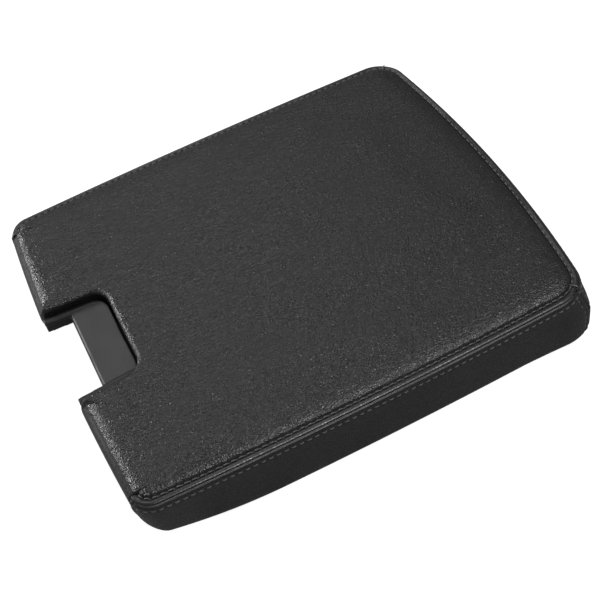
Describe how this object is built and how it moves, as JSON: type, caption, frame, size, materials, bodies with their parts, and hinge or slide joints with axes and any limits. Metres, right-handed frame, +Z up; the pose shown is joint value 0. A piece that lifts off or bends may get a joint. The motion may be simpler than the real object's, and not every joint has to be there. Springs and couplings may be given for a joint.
{
  "type": "center console lid",
  "caption": "Padded leather-covered lid for a car's center console, with a moulded latch pocket in its front edge and a ribbed carrier open below.",
  "frame": {"origin": "middle of the box round the lid, on the plane that its lower edge stands on", "axes": "+X across the lid, +Y from the latch notch to the hinge side, +Z up through the padded top"},
  "size_m": [0.307, 0.3624, 0.0536],
  "materials": {
    "leather_top": "pebbled, soft sheen",
    "leather_band": "fine grain, satin",
    "bezel": "satin",
    "shell": "fine moulded texture",
    "foam": "open cell",
    "tape": "woven",
    "inserts": "turned",
    "screws": "zinc plated",
    "staples": "galvanised"
  },
  "bodies": {
    "root": {"lid_shell": "shell", "latch_bezel": "bezel", "bezel_screws": "screws", "foam_pad": "foam", "top_panel": "leather_top", "right_band": "leather_band", "left_band": "leather_band", "rear_band": "leather_band", "seam_tape": "tape", "hinge_inserts": "inserts", "latch_inserts": "inserts", "cover_staples": "staples"}
  },
  "joints": []
}
